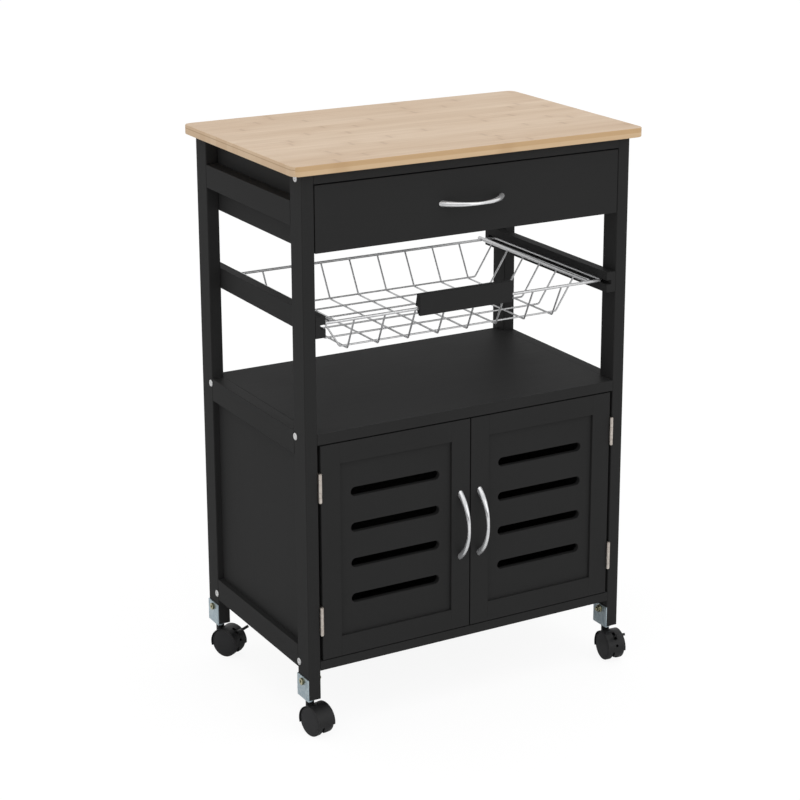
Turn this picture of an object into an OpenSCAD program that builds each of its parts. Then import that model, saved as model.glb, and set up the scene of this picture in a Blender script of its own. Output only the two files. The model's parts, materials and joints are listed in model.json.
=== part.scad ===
// Rolling kitchen cart: bamboo worktop, black wooden frame, drawer, sliding wire basket, open shelf,
// two-door cabinet and four swivel casters. Front faces -Y, width runs along X, Z is up, floor at Z = 0.

/* [Worktop] */
// Width of the worktop
top_w = 570; // [540:1:640]
// Depth of the worktop, front to back
top_d = 362; // [350:1:420]
// Thickness of the worktop
top_t = 14; // [10:0.5:24]
// Radius of the worktop's upright corners
top_corner_r = 13; // [2:0.5:20]
// Overhang past the legs at each side
over_side = 17.5; // [5:0.5:30]
// Overhang past the legs at the front
over_front = 13; // [5:0.5:22]
// Overhang past the legs at the back
over_back = 7; // [2:0.5:20]

/* [Frame] */
// Width of a leg, seen from the front
leg_w = 19; // [16:0.5:24]
// Depth of a leg, seen from the side
leg_d = 34.5; // [34:0.5:45]
// Length of a leg, from its foot to the worktop
leg_h = 769; // [740:1:820]
// Radius of a leg's upright edges
leg_edge_r = 1.5; // [0.5:0.25:3]
// Height of the side rails
rail_h = 34.5; // [25:0.5:40]
// Drop of the upper side rail's top edge below the worktop
upper_rail_drop = 41.5; // [20:0.5:50]
// Height of the front rail under the worktop
front_rail_h = 15; // [12:0.5:20]
// Height of the board that closes the frame at the back, under the worktop
rear_apron_h = 94; // [60:1:105]
// Thickness of that board
rear_apron_t = 15; // [10:0.5:20]

/* [Cabinet] */
// Height of the shelf's top face above the leg feet
shelf_top = 400; // [370:1:430]
// Thickness of the shelf
shelf_t = 16; // [12:0.5:20]
// Height of the cabinet floor's underside above the leg feet
floor_z = 43.5; // [42:0.5:60]
// Thickness of the cabinet floor
floor_t = 14; // [12:0.5:18]
// Height of the lower side rail above the leg feet
lower_rail_z = 41; // [38:0.5:60]
// Thickness of the side panels
side_panel_t = 9.5; // [4:0.5:12]
// Thickness of the back panel
back_t = 4; // [3:0.5:8]
// Distance of the back panel's outer face from the back of the legs
back_inset = 12; // [2:0.5:14]

/* [Doors] */
// Thickness of the doors
door_t = 16; // [14:0.5:20]
// Gap between a door and its leg, which holds the hinge
hinge_gap = 4.5; // [4:0.1:6]
// Gap above the doors
door_gap_top = 2; // [1:0.25:4]
// Gap below the doors
door_gap_bottom = 1.5; // [1:0.25:4]
// Gap between the two doors
door_gap_mid = 2; // [1.5:0.25:4]
// Width of the door frame's members
stile_w = 30.5; // [24:0.5:40]
// Depth of the door panel's face behind the frame's face
panel_recess = 4; // [2:0.5:6]
// Thickness of the door panel
panel_t = 8; // [6:0.5:10]
// Number of slots in a door
slot_count = 4; // [2:1:4]
// Length of a slot
slot_l = 145; // [80:1:160]
// Height of a slot
slot_h = 14; // [8:0.5:20]
// Distance between slots, centre to centre
slot_pitch = 54; // [40:1:60]
// Rise of the group of slots above the door's middle
slot_rise = 2.5; // [-8:0.5:8]

/* [Hinges] */
// Height of a hinge
hinge_h = 42.5; // [36:0.5:50]
// Distance of a hinge's middle from the door's end
hinge_inset = 61; // [45:1:90]
// Radius of the hinge knuckles
knuckle_r = 2.8; // [2.4:0.1:3]
// Radius of the hinge pin
hinge_pin_r = 1.25; // [1:0.05:1.5]
// Thickness of a hinge leaf
leaf_t = 1; // [0.8:0.1:1.2]
// Width of a hinge leaf, into the opening
leaf_w = 13; // [10:0.5:14]
// Distance of the hinge axis in front of the doors
hinge_out = 1.9; // [1.8:0.05:2.6]

/* [Handles] */
// Distance between a handle's feet, centre to centre
handle_cc = 96; // [64:1:128]
// Reach of a handle in front of the face it is on
handle_out = 27; // [22:0.5:35]
// Radius of a handle's bar at its middle
handle_r = 2.9; // [2.5:0.1:4]
// Radius of a handle's foot
foot_r = 4.6; // [4:0.1:6]
// Radius of the handle screws
handle_screw_r = 1.9; // [1.5:0.1:2.2]

/* [Drawer] */
// Height of the drawer front
drawer_front_h = 94; // [80:1:105]
// Thickness of the drawer front
drawer_front_t = 15; // [12:0.5:18]
// Gap around the drawer front
drawer_gap = 2; // [1:0.25:3]
// Gap between the drawer front and each leg
drawer_side_gap = 1.2; // [0.8:0.1:3]
// Gap between the drawer box and the board behind it
drawer_back_gap = 14; // [8:0.5:40]
// Height of the drawer box
drawer_h = 80; // [60:1:86]
// Thickness of the drawer's sides and back
drawer_t = 12; // [10:0.5:15]
// Thickness of the drawer's bottom
drawer_bottom_t = 4; // [3:0.5:6]
// Thickness of the boards that carry the drawer
guide_t = 12; // [10:0.5:16]
// Width of the runner strip on each of those boards
runner_h = 10; // [8:0.5:14]
// Reach of the runner strip into the drawer side's groove
runner_out = 5.5; // [4:0.5:7]
// Travel of the drawer
drawer_travel = 240; // [200:1:250]

/* [Basket] */
// Height of a grooved basket rail
basket_rail_h = 31; // [26:0.5:36]
// Thickness of a basket rail
basket_rail_t = 15.5; // [13:0.5:18]
// Height of the basket rails' underside above the shelf
basket_rail_rise = 138; // [110:1:160]
// Height of the groove in a basket rail
groove_h = 6.3; // [5.6:0.1:8]
// Depth of the groove in a basket rail
groove_d = 8; // [6:0.5:9]
// Length of the closed end of that groove, at the back
groove_stop = 10; // [5:0.5:14]
// Radius of the basket's rim wire
rim_r = 2.2; // [2:0.1:2.5]
// Radius of the rim's bends at its corners
rim_bend_r = 7; // [5:0.5:15]
// Gap between the rim and the bottom of the groove that it slides in
rim_clear = 1.3; // [0.8:0.1:3]
// Radius of the bars inside the rim at each side
bar_r = 3.1; // [2.5:0.1:3.5]
// Distance of those bars from the rim
bar_inset = 23.5; // [15:0.5:32]
// Radius of the thin wires
wire_r = 1.35; // [1.1:0.05:1.7]
// Distance of the front rim wire behind the front of the legs
basket_inset = 19; // [15:0.5:24]
// Distance of the back rim wire in front of the back of the legs
basket_back_gap = 22; // [14:0.5:40]
// Height of the basket, from its rim to its floor
basket_h = 52; // [35:1:60]
// Width of the basket's floor
basket_floor_w = 364; // [320:1:380]
// Distance of the floor's front edge behind the front rim
front_slope = 34; // [20:1:40]
// Distance of the floor's back edge in front of the back rim
rear_slope = 26; // [20:1:40]
// Number of wires that run front to back
cross_count = 8; // [5:1:10]
// Distance of the outer ones from the side edges of the basket's floor
cross_margin = 9.8; // [4:0.1:20]
// Number of wires that run side to side
long_count = 6; // [4:1:7]
// Distance of the outer ones from the front and back edges of the basket's floor
long_margin = 5; // [4:0.1:20]
// Lean of the front-to-back wires at the front rim
lean_front = -6.5; // [-8:0.5:8]
// Lean of those wires at the back rim
lean_rear = -2; // [-8:0.5:8]
// Width of the wooden grip on the front rim
grip_w = 154; // [90:1:200]
// Height of the grip
grip_h = 31; // [26:0.5:36]
// Thickness of the grip
grip_t = 13; // [10:0.5:15]

/* [Casters] */
// Height of a caster, from the floor to the foot of the leg
caster_h = 54; // [52:0.5:60]
// Radius of the wheels
wheel_r = 22; // [18:0.5:24]
// Width across both wheels
wheel_span = 29; // [26:0.5:34]
// Width of one wheel
wheel_w = 9.5; // [8:0.5:11]
// Distance of the axle from the swivel axis
trail = 16; // [12:0.5:20]
// Thickness of the hood over the wheels
hood_t = 1.2; // [1:0.1:2]
// Radius of the caster's stem
stem_r = 4; // [3:0.25:4.5]
// Length of the stem inside the leg
stem_l = 19; // [12:0.5:20]
// Thickness of the bracket's steel
bracket_t = 1.6; // [1.2:0.1:2.5]
// Height of the bracket's plate
bracket_h = 32; // [28:0.5:36]
// Width of the bracket's flange at its free end, under the leg
flange_end = 18; // [15:0.5:24]
// Radius of the bolt through the bracket and leg
bracket_bolt_r = 2.5; // [2:0.1:2.5]
// Turn of the front left caster
turn_fl = 12; // [-180:1:180]
// Turn of the front right caster
turn_fr = -5; // [-180:1:180]
// Turn of the rear left caster
turn_rl = 29; // [-180:1:180]
// Turn of the rear right caster
turn_rr = 18; // [-180:1:180]

/* [Hidden] */
$fn = 48;

// Colours
black_paint = "#2c2c2c";
bamboo = "#d9bfa2";
steel = "#c8c8c4";
zinc = "#b4c0c4";
black_plastic = "#232323";

// Small clearances: a pin in its bore, and two pieces that lie against each other
fit = 0.05;
seat = 0.3;
// Seam between two boards of one frame
joint_gap = 0.1;
// Length added to a cut so that it runs past a face
cut = 1;

// Brake lever, in the caster's own axes
lever_angle = 62;
lever_ring = 18;
lever_hub_r = 2.6;
lever_w = 4.6;
lever_rise = 27;
lever_l = 28;
lever_t = 2.4;
lever_pad_w = 14;
lever_press = 15;
release_angle = 16;
release_r = 2.2;
release_depth = 6;
lever_y = -trail - lever_ring * cos(lever_angle);
lever_z = wheel_r + lever_ring * sin(lever_angle);

// The front rail lies flat and is as deep as the legs
front_rail_d = leg_d;

// Frame, seen from above: outer faces of the legs, placed so that the whole cart is centred
lever_tip = -lever_y + lever_l * cos(lever_rise) + lever_t / 2 * sin(lever_rise);
lever_reach = lever_tip * cos(turn_fr) + lever_pad_w / 2 * abs(sin(turn_fr)) - leg_d / 2;
front_reach = max(handle_out, lever_reach);
leg_x = top_w / 2 - over_side;
front_y = -(top_d - over_front + front_reach) / 2 + front_reach;
rear_y = front_y - over_front + top_d - over_back;
inner_x = leg_x - leg_w;
rail_y0 = front_y + leg_d;
rail_y1 = rear_y - leg_d;

// Heights above the floor
foot_z = caster_h;
top_z = foot_z + leg_h;
shelf_z1 = foot_z + shelf_top;
shelf_z0 = shelf_z1 - shelf_t;
floor_z0 = foot_z + floor_z;
floor_z1 = floor_z0 + floor_t;
drawer_z1 = top_z - front_rail_h - drawer_gap;
drawer_z0 = drawer_z1 - drawer_front_h;
back_y = rear_y - back_inset - back_t;

// Doors
door_z0 = floor_z1 + door_gap_bottom;
door_z1 = shelf_z0 - door_gap_top;
door_outer_x = inner_x - hinge_gap;
door_w = door_outer_x - door_gap_mid / 2;
door_h = door_z1 - door_z0;
hinge_x = inner_x - hinge_gap / 2;
hinge_y = front_y - hinge_out;
knuckle_gap = 0.25;
hinge_centres = [door_z0 + hinge_inset, door_z1 - hinge_inset];

// Handle: the bar's middle line is an arc through both feet
handle_rise = handle_out - handle_r;
handle_arc_r = (pow(handle_cc / 2, 2) + pow(handle_rise, 2)) / (2 * handle_rise);
handle_half_angle = asin(handle_cc / 2 / handle_arc_r);
foot_l = 9;
handle_screw_in = 2.6;

// Drawer
guide_x = inner_x - guide_t;
drawer_x = guide_x - 0.8;
drawer_box_z0 = drawer_z0 + 4;
drawer_box_y0 = front_y + drawer_front_t;
drawer_box_y1 = rear_y - rear_apron_t - drawer_back_gap;
runner_z = drawer_box_z0 + drawer_h / 2;
guide_y0 = drawer_box_y0 + 1;
guide_y1 = rear_y - rear_apron_t;
guide_z0 = drawer_z0 - 1;
guide_z1 = top_z - front_rail_h - 1;
bottom_z = drawer_box_z0 + 7;
bottom_in = 5;

// Basket
basket_rail_z = shelf_z1 + basket_rail_rise;
basket_rail_x = inner_x - basket_rail_t;
groove_z = basket_rail_z + basket_rail_h / 2;
rim_z = groove_z - groove_h / 2 + seat + rim_r;
rim_x = basket_rail_x + groove_d - rim_r - rim_clear;
rim_y0 = front_y + basket_inset;
rim_y1 = rear_y - basket_back_gap;
bar_x = rim_x - bar_inset;
bar_z = rim_z + 1.1;
bar_y1 = rim_y1 + 9;
mesh_y0 = rim_y0 + front_slope;
mesh_y1 = rim_y1 - rear_slope;
mesh_x = basket_floor_w / 2;
cross_z = rim_z - basket_h;
weld_gap = 0.1;
bar_y0 = rim_y0 + rim_r + weld_gap;
long_z = cross_z + 2 * wire_r + weld_gap;
long_y_mid = (mesh_y0 + mesh_y1) / 2;
cross_pitch = (basket_floor_w - 2 * cross_margin) / (cross_count - 1);
long_pitch = (mesh_y1 - mesh_y0 - 2 * long_margin) / (long_count - 1);
grip_y = rim_y0 - rim_r - 4.5;
grip_z = rim_z - 9.5;

// Casters: a caster's own origin is on its swivel axis at the floor, with the wheels towards -Y
caster_x = leg_x - leg_w / 2;
caster_y0 = front_y + leg_d / 2;
caster_y1 = rear_y - leg_d / 2;
hood_r = wheel_r + 0.6 + hood_t;
web_w = wheel_span - 2 * wheel_w - 1;
axle_r = 2.5;
collar_r = 6.2;
collar_z = caster_h - bracket_t - seat;

// Bolts
bolt_r = 3;
bolt_head_r = 5.3;
bolt_head_h = 1.3;
bolt_in = 28;
bolt_y_inset = leg_d - 4.5;
screw_head_r = 5.3;
screw_head_h = 3.5;
washer_t = 1.2;
nut_h = 4;
screw_end = 3;
bolt_rows = [
    [front_y + bolt_y_inset, shelf_z1 - shelf_t / 2],
    [rear_y - bolt_y_inset, shelf_z1 - shelf_t / 2],
    [front_y + bolt_y_inset, floor_z0 + floor_t / 2],
    [rear_y - bolt_y_inset, floor_z0 + floor_t / 2],
    [front_y + front_rail_d / 2, top_z - front_rail_h / 2]
];
bracket_bolt_z = foot_z + bracket_h - 7;

// Helper shapes

// A box between two corners
module block(a, b) {
    translate(a) cube(b - a);
}

// The same piece on the left and, mirrored, on the right
module both_sides() {
    children();
    mirror([1, 0, 0]) children();
}

// An outline with round corners, centred
module rounded_outline(w, d, r) {
    square([w - 2 * r, d], center = true);
    square([w, d - 2 * r], center = true);
    for (x = [-1, 1], y = [-1, 1]) {
        translate([x * (w / 2 - r), y * (d / 2 - r)]) circle(r);
    }
}

// A straight rod between two points, which turn only rolls about itself
module rod(a, b, r, turn = 0) {
    v = b - a;
    length = norm(v);
    translate(a) rotate([0, acos(v[2] / length), atan2(v[1], v[0])]) rotate(turn) cylinder(h = length, r = r);
}

// Round bores along X for the frame's bolts
module bolt_bores() {
    both_sides() for (p = bolt_rows) {
        translate([-leg_x - cut, p[0], p[1]]) rotate([0, 90, 0])
            cylinder(h = bolt_in + cut + fit, r = bolt_r + fit);
    }
}

// Wooden frame

module worktop() {
    color(bamboo)
    translate([0, front_y - over_front + top_d / 2, top_z])
        linear_extrude(top_t) rounded_outline(top_w, top_d, top_corner_r);
}

// A leg: x_side is -1 for left and 1 for right, y_mid is the middle of its depth
module leg(x_side, y_mid) {
    color(black_paint)
    difference() {
        translate([x_side * caster_x, y_mid, foot_z])
            linear_extrude(leg_h) rounded_outline(leg_w, leg_d, leg_edge_r);
        bolt_bores();
        translate([x_side * caster_x, y_mid, foot_z - cut])
            cylinder(h = stem_l + 0.5 + cut, r = stem_r + fit);
        translate([x_side * caster_x - leg_w, y_mid, bracket_bolt_z]) rotate([0, 90, 0])
            cylinder(h = 2 * leg_w, r = bracket_bolt_r + fit);
    }
}

module side_rails(z0) {
    color(black_paint)
    both_sides() block([-leg_x, rail_y0, z0], [-inner_x, rail_y1, z0 + rail_h]);
}

module upper_side_rails() {
    side_rails(top_z - upper_rail_drop - rail_h);
}

module middle_side_rails() {
    side_rails(shelf_z1 - rail_h);
}

module lower_side_rails() {
    side_rails(foot_z + lower_rail_z);
}

module front_top_rail() {
    color(black_paint)
    difference() {
        block([-inner_x, front_y, top_z - front_rail_h], [inner_x, front_y + front_rail_d, top_z]);
        bolt_bores();
    }
}

module rear_apron() {
    color(black_paint)
    block([-inner_x, rear_y - rear_apron_t, top_z - rear_apron_h], [inner_x, rear_y, top_z]);
}

module drawer_guide_left() {
    color(black_paint) {
        block([-inner_x, guide_y0, guide_z0], [-guide_x, guide_y1, guide_z1]);
        block(
            [-guide_x - cut, guide_y0 + 6, runner_z - runner_h / 2],
            [-guide_x + runner_out, guide_y1 - 4, runner_z + runner_h / 2]
        );
    }
}

module drawer_guide_right() {
    mirror([1, 0, 0]) drawer_guide_left();
}

module basket_rail_left() {
    color(black_paint)
    difference() {
        block(
            [-inner_x, front_y, basket_rail_z],
            [-basket_rail_x, rear_y, basket_rail_z + basket_rail_h]
        );
        block(
            [-basket_rail_x - groove_d, front_y - cut, groove_z - groove_h / 2],
            [-basket_rail_x + cut, rear_y - groove_stop, groove_z + groove_h / 2]
        );
    }
}

module basket_rail_right() {
    mirror([1, 0, 0]) basket_rail_left();
}

// Cabinet

module shelf() {
    color(black_paint)
    difference() {
        block([-inner_x, front_y, shelf_z0], [inner_x, back_y, shelf_z1]);
        bolt_bores();
    }
}

module cabinet_floor() {
    color(black_paint)
    difference() {
        block([-inner_x, front_y, floor_z0], [inner_x, back_y, floor_z1]);
        bolt_bores();
    }
}

module side_panel_left() {
    color(black_paint)
    block(
        [-inner_x - side_panel_t, rail_y0, foot_z + lower_rail_z + rail_h],
        [-inner_x, rail_y1, shelf_z1 - rail_h]
    );
}

module side_panel_right() {
    mirror([1, 0, 0]) side_panel_left();
}

module back_panel() {
    color(black_paint)
    block([-inner_x, back_y, floor_z0], [inner_x, back_y + back_t, shelf_z1]);
}

// Hinges

// Heights of the knuckles, from the lowest up, as shares of the hinge
function knuckle_ends() = [0, 8, 15, 27.5, 34.5, 42.5] * hinge_h / 42.5;

// Knuckles number first, first + 2 and so on, each with its bore, and the leaf they curl from
module leaf(leaf_x, first) {
    ends = knuckle_ends();
    for (zc = hinge_centres) {
        z0 = zc - hinge_h / 2;
        difference() {
            union() {
                block(
                    [leaf_x, hinge_y + knuckle_r + 0.4, z0],
                    [leaf_x + leaf_t, front_y + leaf_w, z0 + hinge_h]
                );
                for (k = [first : 2 : 4]) {
                    k0 = z0 + ends[k] + knuckle_gap / 2;
                    k1 = z0 + ends[k + 1] - knuckle_gap / 2;
                    block([leaf_x, hinge_y, k0], [leaf_x + leaf_t, front_y + leaf_w, k1]);
                    translate([-hinge_x, hinge_y, k0]) cylinder(h = k1 - k0, r = knuckle_r);
                }
            }
            translate([-hinge_x, hinge_y, z0 - cut])
                cylinder(h = hinge_h + 2 * cut, r = hinge_pin_r + fit);
        }
    }
}

module hinge_frame_leaves() {
    color(steel)
    both_sides() leaf(-inner_x, 0);
}

module hinge_pins() {
    head_h = 0.8;
    color(steel)
    both_sides() for (zc = hinge_centres) {
        translate([-hinge_x, hinge_y, zc - hinge_h / 2]) cylinder(h = hinge_h, r = hinge_pin_r);
        for (z = [zc - hinge_h / 2 - head_h, zc + hinge_h / 2]) {
            translate([-hinge_x, hinge_y, z]) cylinder(h = head_h, r = knuckle_r - 0.5);
        }
    }
}

module door_leaves_left() {
    color(steel)
    leaf(-door_outer_x - leaf_t, 1);
}

module door_leaves_right() {
    mirror([1, 0, 0]) door_leaves_left();
}

// Fixings of the frame

module frame_bolts() {
    color(steel)
    both_sides() for (p = bolt_rows) {
        translate([-leg_x - bolt_head_h, p[0], p[1]]) rotate([0, 90, 0])
        difference() {
            union() {
                cylinder(h = bolt_head_h, r1 = bolt_head_r - 0.8, r2 = bolt_head_r);
                cylinder(h = bolt_head_h + bolt_in, r = bolt_r);
            }
            translate([0, 0, -cut]) cylinder(h = cut + 1.1, r = 2.3, $fn = 6);
        }
    }
}

// Bracket with its plate on the leg's left face and its flange under the leg
module bracket(plate_x, y_mid, stem_x) {
    difference() {
        union() {
            block(
                [plate_x, y_mid - leg_d / 2, foot_z - bracket_t],
                [plate_x + bracket_t, y_mid + leg_d / 2, foot_z + bracket_h]
            );
            translate([plate_x, y_mid, foot_z - bracket_t]) linear_extrude(bracket_t) polygon([
                [0, -leg_d / 2], [bracket_t + 4, -leg_d / 2], [bracket_t + leg_w - 1, -flange_end / 2],
                [bracket_t + leg_w - 1, flange_end / 2], [bracket_t + 4, leg_d / 2], [0, leg_d / 2]
            ]);
        }
        translate([stem_x, y_mid, foot_z - bracket_t - cut])
            cylinder(h = bracket_t + 2 * cut, r = stem_r + fit);
        translate([plate_x - cut, y_mid, bracket_bolt_z]) rotate([0, 90, 0])
            cylinder(h = bracket_t + 2 * cut, r = bracket_bolt_r + fit);
    }
}

module caster_brackets() {
    color(zinc)
    for (y = [caster_y0, caster_y1]) {
        bracket(-leg_x - bracket_t, y, -caster_x);
        bracket(inner_x - bracket_t, y, caster_x);
    }
}

// Bolt through a leg, with its round head outside, and its washer and nut inside
module bracket_bolt(head_out, nut_out) {
    translate([-leg_x - head_out, 0, 0]) rotate([0, 90, 0])
        cylinder(h = leg_w + head_out + nut_out + washer_t + nut_h + screw_end, r = bracket_bolt_r);
    translate([-leg_x - head_out - screw_head_h, 0, 0]) rotate([0, 90, 0]) difference() {
        cylinder(h = screw_head_h, r1 = screw_head_r - 0.4, r2 = screw_head_r);
        translate([0, 0, -cut]) cylinder(h = cut + 2.2, r = 2.2, $fn = 6);
    }
    translate([-inner_x + nut_out, 0, 0]) rotate([0, 90, 0]) {
        cylinder(h = washer_t, r = 6);
        cylinder(h = washer_t + nut_h, r = 5.2, $fn = 6);
    }
}

module bracket_bolts() {
    color("#c9b458")
    for (y = [caster_y0, caster_y1]) {
        translate([0, y, bracket_bolt_z]) bracket_bolt(bracket_t, 0);
        translate([0, y, bracket_bolt_z]) mirror([1, 0, 0]) bracket_bolt(0, bracket_t);
    }
}

// Magnetic catch under the shelf, just behind the doors
catch_w = 44;
catch_h = 12;
catch_d = 14;
strike_t = 1.2;
catch_y = front_y + door_t + strike_t + seat;

module door_catch() {
    color(black_plastic)
    block([-catch_w / 2, catch_y, shelf_z0 - catch_h], [catch_w / 2, catch_y + catch_d, shelf_z0]);
}

// Handles

// Bow handle along X on a face that looks towards -Y: an arc with a thicker end at each foot
module handle() {
    color(steel)
    difference() {
        union() {
            translate([0, handle_arc_r - handle_rise, 0]) rotate([0, 0, -90 - handle_half_angle])
                rotate_extrude(angle = 2 * handle_half_angle, $fn = 96)
                    translate([handle_arc_r, 0]) circle(handle_r, $fn = 32);
            for (x = [-1, 1]) {
                translate([x * handle_cc / 2, 0, 0]) rotate([90, 0, x * (handle_half_angle - 90)])
                    translate([0, 0, -foot_r]) cylinder(h = foot_l + foot_r, r1 = foot_r, r2 = handle_r);
            }
        }
        block([-handle_cc, 0, -3 * foot_r], [handle_cc, 3 * foot_r, 3 * foot_r]);
        for (x = [-1, 1]) {
            translate([x * handle_cc / 2, cut, 0]) rotate([90, 0, 0])
                cylinder(h = cut + handle_screw_in + 0.4, r = handle_screw_r + fit);
        }
    }
}

// Screws from inside a panel into a handle's feet
module handle_screws(panel_depth) {
    for (x = [-1, 1]) translate([x * handle_cc / 2, 0, 0]) {
        translate([0, panel_depth, 0]) rotate([90, 0, 0])
            cylinder(h = panel_depth + handle_screw_in, r = handle_screw_r);
        translate([0, panel_depth + 1.6, 0]) rotate([90, 0, 0]) cylinder(h = 1.6, r = 2 * handle_screw_r);
    }
}

module handle_holes(panel_depth) {
    for (x = [-1, 1]) translate([x * handle_cc / 2, panel_depth + cut, 0]) rotate([90, 0, 0])
        cylinder(h = panel_depth + 2 * cut, r = handle_screw_r + fit);
}

module at_drawer_handle() {
    translate([0, front_y, (drawer_z0 + drawer_z1) / 2]) children();
}

module at_door_handle_left() {
    translate([-door_gap_mid / 2 - stile_w / 2, front_y, (door_z0 + door_z1) / 2]) rotate([0, 90, 0])
        children();
}

// Drawer

module drawer_front() {
    color(black_paint)
    difference() {
        block(
            [-inner_x + drawer_side_gap, front_y, drawer_z0],
            [inner_x - drawer_side_gap, front_y + drawer_front_t, drawer_z1]
        );
        at_drawer_handle() handle_holes(drawer_front_t);
        drawer_bottom_space();
    }
}

// Groove that the drawer's bottom slides into
module drawer_bottom_space() {
    block(
        [-drawer_x + drawer_t - bottom_in, drawer_box_y0 - bottom_in, bottom_z],
        [drawer_x - drawer_t + bottom_in, drawer_box_y1 - drawer_t + bottom_in, bottom_z + drawer_bottom_t]
    );
}

module drawer_side_left() {
    color(black_paint)
    difference() {
        block(
            [-drawer_x, drawer_box_y0, drawer_box_z0],
            [-drawer_x + drawer_t, drawer_box_y1, drawer_box_z0 + drawer_h]
        );
        drawer_bottom_space();
        block(
            [-drawer_x - cut, drawer_box_y0 + 5, runner_z - runner_h / 2 - seat],
            [-guide_x + runner_out + seat, drawer_box_y1 + cut, runner_z + runner_h / 2 + seat]
        );
    }
}

module drawer_side_right() {
    mirror([1, 0, 0]) drawer_side_left();
}

module drawer_back() {
    color(black_paint)
    difference() {
        block(
            [-drawer_x + drawer_t, drawer_box_y1 - drawer_t, drawer_box_z0],
            [drawer_x - drawer_t, drawer_box_y1, drawer_box_z0 + drawer_h - 6]
        );
        drawer_bottom_space();
    }
}

module drawer_bottom() {
    slack = 0.1;
    color(black_paint)
    block(
        [-drawer_x + drawer_t - bottom_in + slack, drawer_box_y0 - bottom_in + slack, bottom_z + slack],
        [
            drawer_x - drawer_t + bottom_in - slack,
            drawer_box_y1 - drawer_t + bottom_in - slack,
            bottom_z + drawer_bottom_t - slack
        ]
    );
}

module drawer_handle() {
    at_drawer_handle() handle();
}

module drawer_handle_screws() {
    color(steel) at_drawer_handle() handle_screws(drawer_front_t);
}

// Basket

module basket_rim() {
    color(steel) {
        for (y = [rim_y0, rim_y1]) {
            rod([-rim_x + rim_bend_r, y, rim_z], [rim_x - rim_bend_r, y, rim_z], rim_r);
        }
        for (x = [-rim_x, rim_x]) {
            rod([x, rim_y0 + rim_bend_r, rim_z], [x, rim_y1 - rim_bend_r, rim_z], rim_r);
        }
        rim_corner(rim_x - rim_bend_r, rim_y1 - rim_bend_r, 0);
        rim_corner(-rim_x + rim_bend_r, rim_y1 - rim_bend_r, 90);
        rim_corner(-rim_x + rim_bend_r, rim_y0 + rim_bend_r, 180);
        rim_corner(rim_x - rim_bend_r, rim_y0 + rim_bend_r, 270);
    }
}

// A quarter bend of the rim wire
module rim_corner(x, y, turn) {
    translate([x, y, rim_z]) rotate([0, 0, turn])
        rotate_extrude(angle = 90) translate([rim_bend_r, 0]) circle(rim_r, $fn = 24);
}

// Each bar stands against the front wire of the rim, and is pressed over the back wire, past which it runs on
module basket_side_bars() {
    color(steel)
    both_sides() difference() {
        rod([bar_x, bar_y0, bar_z], [bar_x, bar_y1, bar_z], bar_r);
        rod([bar_x - 2 * bar_r, rim_y1, rim_z], [bar_x + 2 * bar_r, rim_y1, rim_z], rim_r + weld_gap);
    }
}

function cross_x(i) = (i - (cross_count - 1) / 2) * cross_pitch;
function long_y(i) = long_y_mid + (i - (long_count - 1) / 2) * long_pitch;

// Top end of a wire's bent side, just short of the bar that it is welded to. A point is [0, along, up]
function wire_end(run, top, rise, weld_r) =
    let (end_l = norm([top - run, rise]) - weld_r - weld_gap, slope = atan2(rise, top - run))
    [0, run + end_l * cos(slope), end_l * sin(slope)];

// A wire along Y with both its sides bent up, whose ends lean along X by lean
module bent_wire(front_run, front_end, rear_run, rear_end, lean) {
    front_bend = [0, -front_run, 0];
    rear_bend = [0, rear_run, 0];
    rod(front_bend, [lean[0], -front_end[1], front_end[2]], wire_r, 35);
    rod(front_bend, rear_bend, wire_r, 50);
    rod(rear_bend, rear_end + [lean[1], 0, 0], wire_r, 65);
    for (bend = [front_bend, rear_bend]) translate(bend) rotate([40, 30, 20]) sphere(wire_r + 0.03);
}

module basket_cross_wires() {
    rise = rim_z - cross_z;
    front_run = long_y_mid - mesh_y0;
    rear_run = mesh_y1 - long_y_mid;
    front_end = wire_end(front_run, long_y_mid - rim_y0, rise, rim_r);
    rear_end = wire_end(rear_run, rim_y1 - long_y_mid, rise, rim_r);
    color(steel)
    for (i = [0 : cross_count - 1]) {
        translate([cross_x(i), long_y_mid, cross_z])
            bent_wire(front_run, front_end, rear_run, rear_end, [lean_front, lean_rear]);
    }
}

module basket_long_wires() {
    end = wire_end(mesh_x, bar_x, bar_z - long_z, bar_r);
    color(steel)
    for (i = [0 : long_count - 1]) {
        translate([0, long_y(i), long_z]) rotate([0, 0, 90]) bent_wire(mesh_x, end, mesh_x, end, [0, 0]);
    }
}

// Wooden grip: a board with bevelled back edges, grooved for the rim wire
module basket_grip() {
    groove = rim_r + 0.1;
    bevel = 4;
    wire_in = rim_y0 - grip_y;
    color(black_paint)
    difference() {
        translate([-grip_w / 2, grip_y, grip_z]) rotate([90, 0, 90]) linear_extrude(grip_w)
            polygon([
                [0, 0], [grip_t - bevel, 0], [grip_t, bevel], [grip_t, grip_h / 2],
                [grip_t - bevel, grip_h], [0, grip_h]
            ]);
        rod([-grip_w / 2 - cut, rim_y0, rim_z], [grip_w / 2 + cut, rim_y0, rim_z], groove);
        block(
            [-grip_w / 2 - cut, rim_y0, rim_z - groove],
            [grip_w / 2 + cut, grip_y + grip_t + cut, rim_z + groove]
        );
        for (i = [0 : cross_count - 1]) {
            block(
                [cross_x(i) + lean_front - wire_r - 0.4, rim_y0 - wire_r, grip_z - cut],
                [cross_x(i) + lean_front / 2 + wire_r + 1, grip_y + grip_t + cut, rim_z]
            );
        }
    }
}

// Doors

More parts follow.
